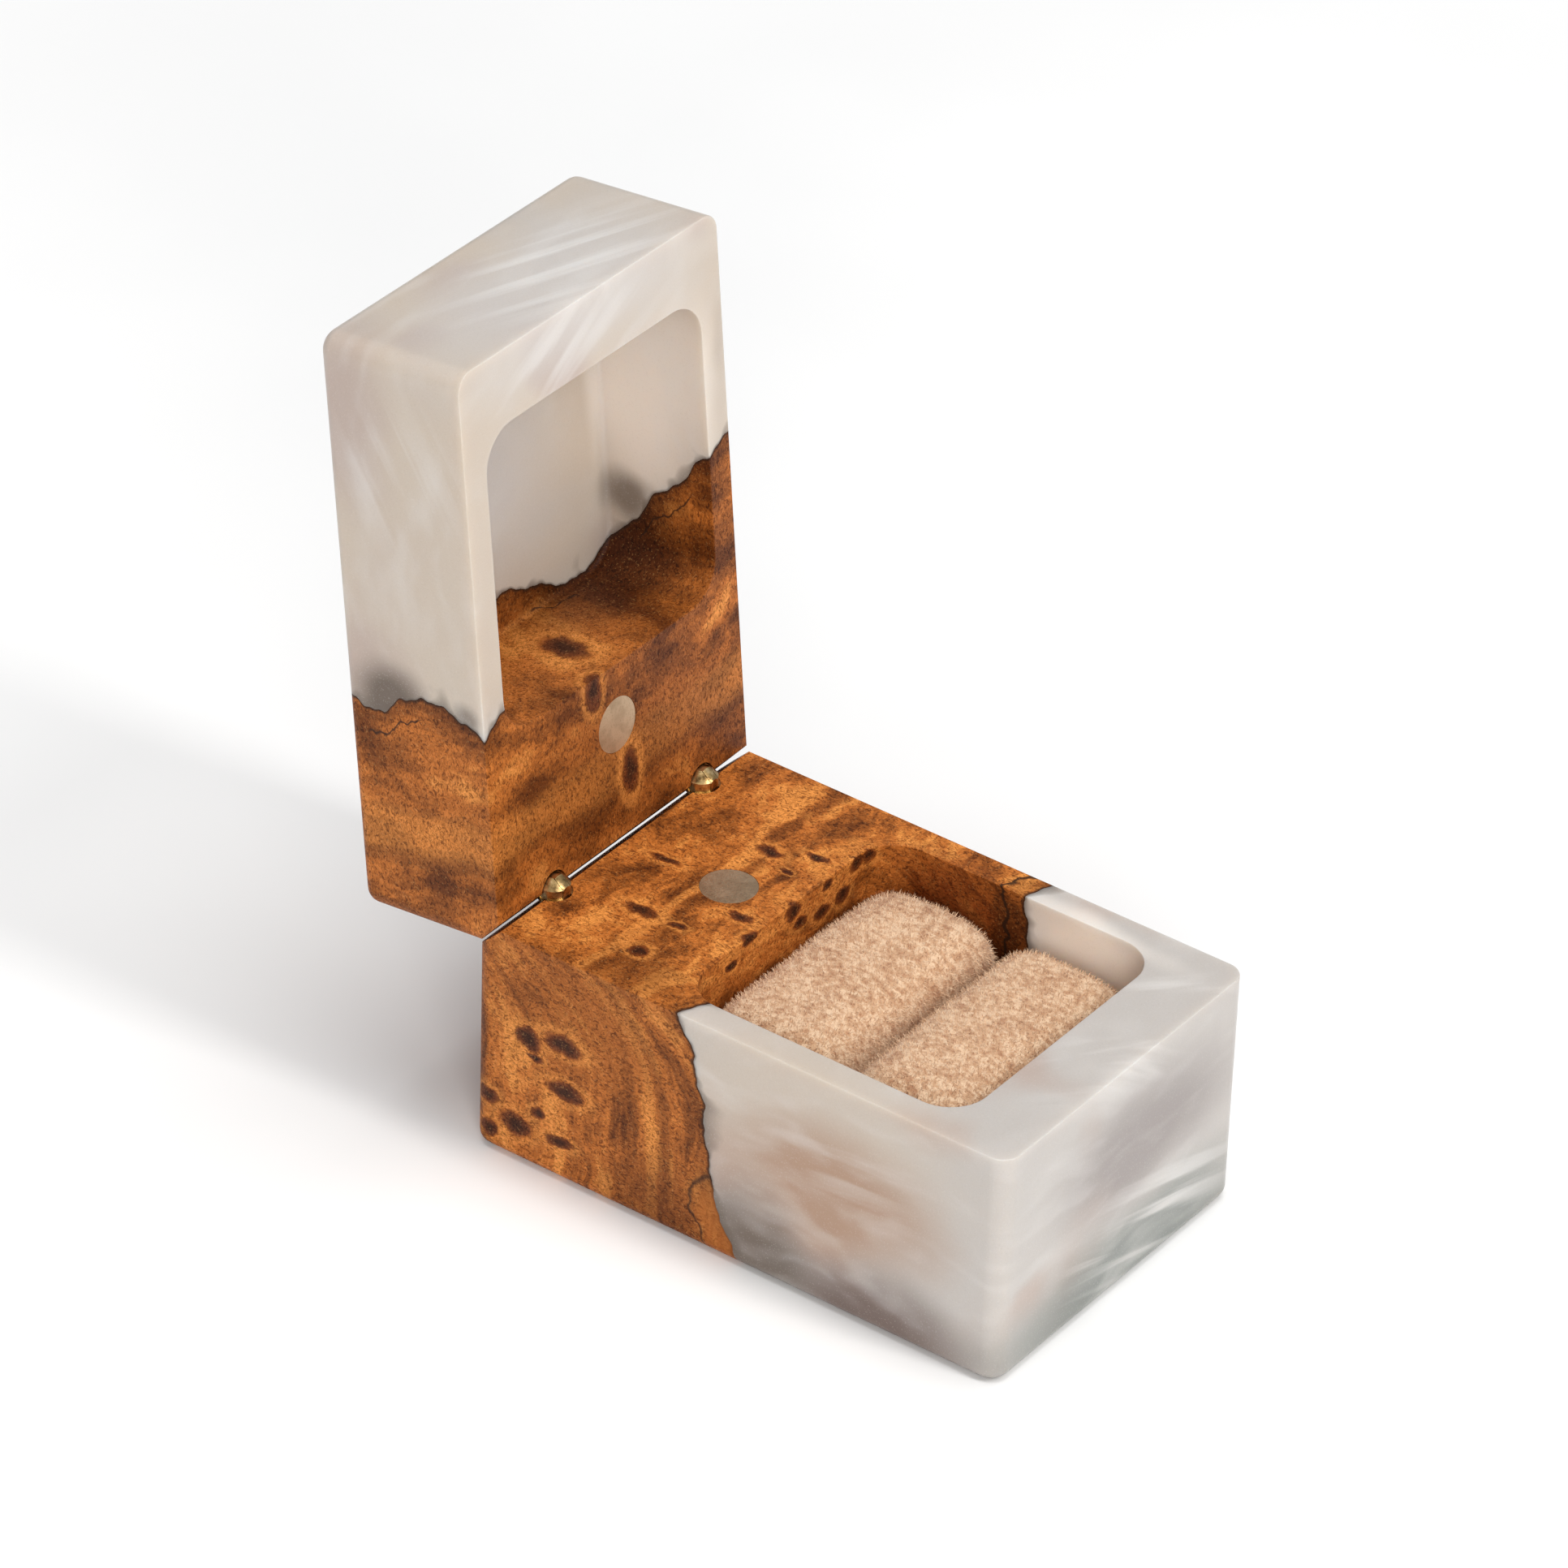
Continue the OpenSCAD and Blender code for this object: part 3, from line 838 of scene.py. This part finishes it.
def dress_metal(word, skin, edge_mm):
    """Gives the CAD nodes whose names hold the word their metal and a soft edge."""
    for name, node in frame["nodes"].items():
        if word in name:
            node.data.materials.clear()
            node.data.materials.append(skin)
            edge = node.modifiers.new("soft edge", "BEVEL")
            edge.width = edge_mm * MM
            edge.segments = 2
            edge.limit_method = "ANGLE"
            edge.angle_limit = math.radians(EDGE_ANGLE)


# ---------------------------------------------------------------- plush
PLUSH_LIGHT = (0.84, 0.61, 0.41)
PLUSH_TAN = (0.65, 0.405, 0.24)
PLUSH_SHADE = (0.48, 0.25, 0.135)


def plush(name, loft):
    """Mottled nap, paler by loft."""
    s = Shader(name)
    nap = s.scaled(s.warped(0.5, 0.6), (1.0, 0.7, 0.7))
    mottle = s.noise(nap, 1.5, 3.0, 0.62)
    patch = s.noise(s.mm, 0.35, 2.0)
    tone = 0.75 * mottle + 0.25 * patch
    colour = s.ramp(tone, [(0.36, PLUSH_SHADE), (0.47, PLUSH_TAN), (0.57, PLUSH_LIGHT)])
    hair = s.noise(s.mm, 5.0, 2.0, 0.7)
    colour = s.over(colour, PLUSH_SHADE, s.fade(hair, 0.35, 0.65, 0.25, 0.0))
    colour = s.over(colour, PLUSH_LIGHT, loft)
    s.set(
        Base_Color=colour, Roughness=0.95, Sheen_Weight=0.3, Sheen_Roughness=0.5, Specular_IOR_Level=0.15
    )
    s.bump(hair, 0.6, 0.25)
    return s.material


# ---------------------------------------------------------------- rolls
# the blank before it swells, in mm: how much smaller it is all round, how finely it is cut, and the
# powers that round its ends, its crowned top and its flatter underside
ROLL_SHRINK = 0.4
ROLL_SECTIONS = 28
ROLL_SIDES = 48
ROLL_END_POWER = 11
ROLL_END_ROOT = 1 / 2.4
ROLL_END_LEAST = 0.03
ROLL_END_DEPTH = 0.72
ROLL_TOP_POWER = 0.5
ROLL_UNDER_POWER = 0.4

# the cloth simulation: mesh size and most travel in mm, pressure, and how full the roll is
VOXEL = 0.8
SWELL = 0.9
PRESSURE = 4
CLOTH_FRAMES = 20

# the pile, in mm: how many fibres on a roll, how far below the rim they start, and their shape
PILE_COUNT = 15000
PILE_DEPTH = 12
PILE_LENGTH = (0.30, 0.75)
PILE_WIDTH = (0.035, 0.06)
PILE_SPREAD = 0.65
PILE_CURL = 0.35
PILE_ROOT = 0.08


def signed_power(value, power):
    """The power of a value's size, with the value's sign."""
    return math.copysign(abs(value) ** power, value)


def roll_blank(name, node):
    """Soft block with a crowned top in the space of the CAD roll, smaller all round."""
    low, high = (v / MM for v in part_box(node))
    centre = (low + high) / 2
    half = (high - low) / 2 - Vector((ROLL_SHRINK, ROLL_SHRINK, ROLL_SHRINK))
    bm = bmesh.new()
    rings = []
    for i in range(ROLL_SECTIONS + 1):
        t = -1 + 2 * i / ROLL_SECTIONS
        end = max(0.0, 1 - abs(t) ** ROLL_END_POWER) ** ROLL_END_ROOT
        keep = max(ROLL_END_LEAST, end)
        ring = []
        for j in range(ROLL_SIDES):
            a = 2 * math.pi * j / ROLL_SIDES
            power = ROLL_UNDER_POWER if math.sin(a) < 0 else ROLL_TOP_POWER
            y = half.y * signed_power(math.cos(a), power)
            z = half.z * signed_power(math.sin(a), power)
            offset = Vector((half.x * t, y * mix(ROLL_END_DEPTH, 1, keep), z * keep))
            ring.append(bm.verts.new((centre + offset) * MM))
        rings.append(ring)
    bridge(bm, rings)
    close_ends(bm, rings)
    return new_object(name, bm)


def inflate(obj, most):
    """Swells the roll as a stuffed cushion by cloth simulation, no point moving more than most."""
    rest = [v.co.copy() for v in obj.data.vertices]
    step = obj.modifiers.new("cloth", "CLOTH")
    step.settings.use_pressure = True
    step.settings.uniform_pressure_force = PRESSURE
    step.settings.effector_weights.gravity = 0
    step.settings.quality = 6
    scene = bpy.context.scene
    for number in range(1, CLOTH_FRAMES + 1):
        scene.frame_set(number)
    apply_modifiers(obj)
    scene.frame_set(1)
    for vertex, start in zip(obj.data.vertices, rest):
        moved = vertex.co - start
        if moved.length > most:
            vertex.co = start + moved * (most / moved.length)


def keep_inside(obj, node):
    """Holds every point within the CAD roll's box."""
    low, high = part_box(node)
    for vertex in obj.data.vertices:
        vertex.co = Vector(max(a, min(b, c)) for a, b, c in zip(low, high, vertex.co))


def soften(obj, seed):
    """Uneven stuffing: slow dents and small lumps."""
    for vertex in obj.data.vertices:
        place = vertex.co / MM
        slow = noise.noise(place * 0.12 + Vector((seed, 0, 0)))
        small = noise.noise(place * 0.5 + Vector((0, seed, 0)))
        vertex.co += vertex.normal * MM * (0.28 * slow + 0.10 * small - 0.15)


def point_on(rng, face, vertices):
    """A random point of a face, which has three or four corners."""
    corners = [vertices[i].co for i in face.vertices]
    a, b = rng.random(), rng.random()
    if a + b > 1:
        a, b = 1 - a, 1 - b
    side = rng.choice((1, 2)) if len(corners) > 3 else 1
    origin = corners[0]
    return origin + (corners[side] - origin) * a + (corners[side + 1] - origin) * b


def grow_fibre(rng, bm, root, normal):
    """One short flat fibre that leans and curls its own way."""
    lean = Vector((rng.uniform(-1, 1), rng.uniform(-1, 1), rng.uniform(-1, 1)))
    way = (normal + PILE_SPREAD * lean).normalized()
    length = rng.uniform(*PILE_LENGTH) * MM
    width = rng.uniform(*PILE_WIDTH) * MM
    flat = way.cross(lean).normalized() * width
    root = root - way * PILE_ROOT * MM
    middle = root + way * length * 0.55
    tip = root + (way + PILE_CURL * lean.cross(way)).normalized() * length
    narrow = flat * 0.7
    v = [bm.verts.new(p) for p in (root - flat, root + flat, middle + narrow, middle - narrow, tip)]
    bm.faces.new((v[0], v[1], v[2], v[3]))
    bm.faces.new((v[3], v[2], v[4]))


def pile(name, roll, seed):
    """Short fibres that stand on the upper part of a roll."""
    rng = random.Random(seed)
    floor = (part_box("base_wood")[1].z / MM - PILE_DEPTH) * MM
    faces = [f for f in roll.data.polygons if f.center.z > floor]
    total = sum(f.area for f in faces)
    bm = bmesh.new()
    for face in faces:
        share = PILE_COUNT * face.area / total
        number = int(share) + (rng.random() < share % 1)
        for _ in range(number):
            root = point_on(rng, face, roll.data.vertices)
            grow_fibre(rng, bm, root, face.normal)
    mesh = bpy.data.meshes.new(name)
    bm.to_mesh(mesh)
    bm.free()
    return link_object(name, mesh)


def make_roll(place, seed, skin, fibre):
    """One plush roll, in place of its CAD cover and foam, with its pile as a second piece."""
    node = f"roll_{place}_plush"
    roll = roll_blank(f"roll_{place}", node)
    even = roll.modifiers.new("remesh", "REMESH")
    even.mode = "VOXEL"
    even.voxel_size = VOXEL * MM
    apply_modifiers(roll)
    inflate(roll, SWELL * MM)
    soften(roll, seed)
    finer = roll.modifiers.new("finer", "SUBSURF")
    finer.levels = 1
    finer.render_levels = 1
    apply_modifiers(roll)
    keep_inside(roll, node)
    roll.data.shade_smooth()
    roll.data.materials.clear()
    roll.data.materials.append(skin)
    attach(roll, "base")
    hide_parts(node, f"roll_{place}_foam")
    tuft = pile(f"roll_{place}_pile", roll, seed)
    tuft.data.materials.append(fibre)
    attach(tuft, "base")


# ---------------------------------------------------------------- camera, lights, floor
# angles in degrees, places and lengths in metres
CAMERA_AZIMUTH = -54.582
CAMERA_ELEVATION = 34.275
CAMERA_ROLL = 2.056
CAMERA_FIELD = 10.026
CAMERA_DISTANCE = 0.9
CAMERA_AIM = Vector((0.01203, 0.01855, 0.03220))
LIGHT_AIM = (0, 0.02, 0.03)
FLOOR_HALF_SIZE = 6
FLOOR_DROP = 0.00005


def place_camera():
    """A camera that looks at the aim from an azimuth and elevation in degrees, turned by its roll."""
    a, e, r = (math.radians(v) for v in (CAMERA_AZIMUTH, CAMERA_ELEVATION, CAMERA_ROLL))
    back = Vector((math.sin(a) * math.cos(e), -math.cos(a) * math.cos(e), math.sin(e)))
    level = Vector((math.cos(a), math.sin(a), 0))
    right = level * math.cos(r) + back.cross(level) * math.sin(r)
    data = bpy.data.cameras.new("camera")
    data.angle = math.radians(CAMERA_FIELD)
    data.clip_start = 0.05
    data.clip_end = 20
    camera = link_object("camera", data)
    axes = Matrix((right, back.cross(right), back)).transposed().to_4x4()
    camera.matrix_world = Matrix.Translation(CAMERA_AIM + back * CAMERA_DISTANCE) @ axes
    bpy.context.scene.camera = camera


def soft_box(name, place, size, power, colour=(1, 1, 1)):
    """A rectangular studio light that faces the object."""
    data = bpy.data.lights.new(name, "AREA")
    data.shape = "RECTANGLE"
    data.size, data.size_y = size
    data.energy = power
    data.color = colour
    lamp = link_object(name, data)
    lamp.location = place
    lamp.rotation_euler = (Vector(LIGHT_AIM) - Vector(place)).to_track_quat("-Z", "Y").to_euler()


def light_studio():
    """A pale surrounding light, a narrow key light, a light from the left and a wide one above."""
    world = bpy.data.worlds.new("studio")
    world.use_nodes = True
    background = world.node_tree.nodes["Background"]
    background.inputs["Color"].default_value = (0.96, 0.98, 1.0, 1)
    background.inputs["Strength"].default_value = 0.32
    bpy.context.scene.world = world
    soft_box("key", (0.06, -0.84, 1.0), (0.16, 0.6), 5.0, (1.0, 0.985, 0.96))
    soft_box("left", (-0.78, -0.58, 0.5), (0.5, 0.5), 5.2, (1.0, 0.97, 0.935))
    soft_box("top", (0.1, -0.1, 2.0), (1.2, 1.2), 20.0)
    bpy.context.scene.view_settings.view_transform = "Standard"


def lay_floor():
    """A plain pale floor just under the box."""
    bm = bmesh.new()
    bmesh.ops.create_grid(bm, x_segments=1, y_segments=1, size=FLOOR_HALF_SIZE)
    floor = new_object("floor", bm)
    floor.location.z = -FLOOR_DROP
    s = Shader("paper")
    tooth = s.noise(s.mm, 0.02, 2.0)
    colour = s.ramp(tooth, [(0.3, (0.95, 0.95, 0.95)), (0.7, (0.97, 0.97, 0.97))])
    s.set(Base_Color=colour, Roughness=0.9, Specular_IOR_Level=0.1)
    floor.data.materials.append(s.material)


# ---------------------------------------------------------------- build
def make_block(block):
    """Wood and resin pieces of one block, in place of its CAD nodes."""
    wood, resin = wood_and_resin(block)
    for piece, node, skin, slot in (
        (wood, f"{block.name}_wood", burl(block), "burl_wood"),
        (resin, f"{block.name}_resin", pearl(block), "pearl_resin"),
    ):
        piece.data.materials.clear()
        piece.data.materials.append(skin)
        piece.matrix_world = block.place
        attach(piece, block.name)
        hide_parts(node)


# each block: heights of its outer cap, its rim and its pocket floor in its own frame, which way its
# pocket opens, its place, and what its two materials hold
BASE = SimpleNamespace(
    name="base", cap=0.0, rim=BASE_HEIGHT, floor=BASE_FLOOR, up=1, place=Matrix.Identity(4),
    seam=base_seam, figure=BASE_FIGURE, heart=BASE_HEART, eyes=BASE_EYES, cracks=base_cracks,
    milk=RESIN_WHITE, drifts=BASE_DRIFTS_AND_GLOW, sheens=BASE_SHEENS,
)
LID = SimpleNamespace(
    name="lid", cap=LID_HEIGHT, rim=0.0, floor=LID_POCKET_DEPTH, up=-1, place=LID_FRAME,
    seam=lid_seam, figure=LID_FIGURE, heart=LID_HEART_AND_SHADE, eyes=LID_EYES, cracks=lid_cracks,
    milk=RESIN_CREAM, drifts=LID_DRIFTS_AND_GLOW, sheens=LID_SHEENS,
)

place_camera()
light_studio()
lay_floor()
make_block(BASE)
make_block(LID)
dress_metal("hinge", brass(), HINGE_EDGE)
dress_metal("magnet", nickel(), MAGNET_EDGE)
plush_skin = plush("plush", 0.0)
plush_fibre = plush("plush_fibre", 0.35)
make_roll("rear", 11, plush_skin, plush_fibre)
make_roll("front", 23, plush_skin, plush_fibre)

bpy.context.view_layer.update()
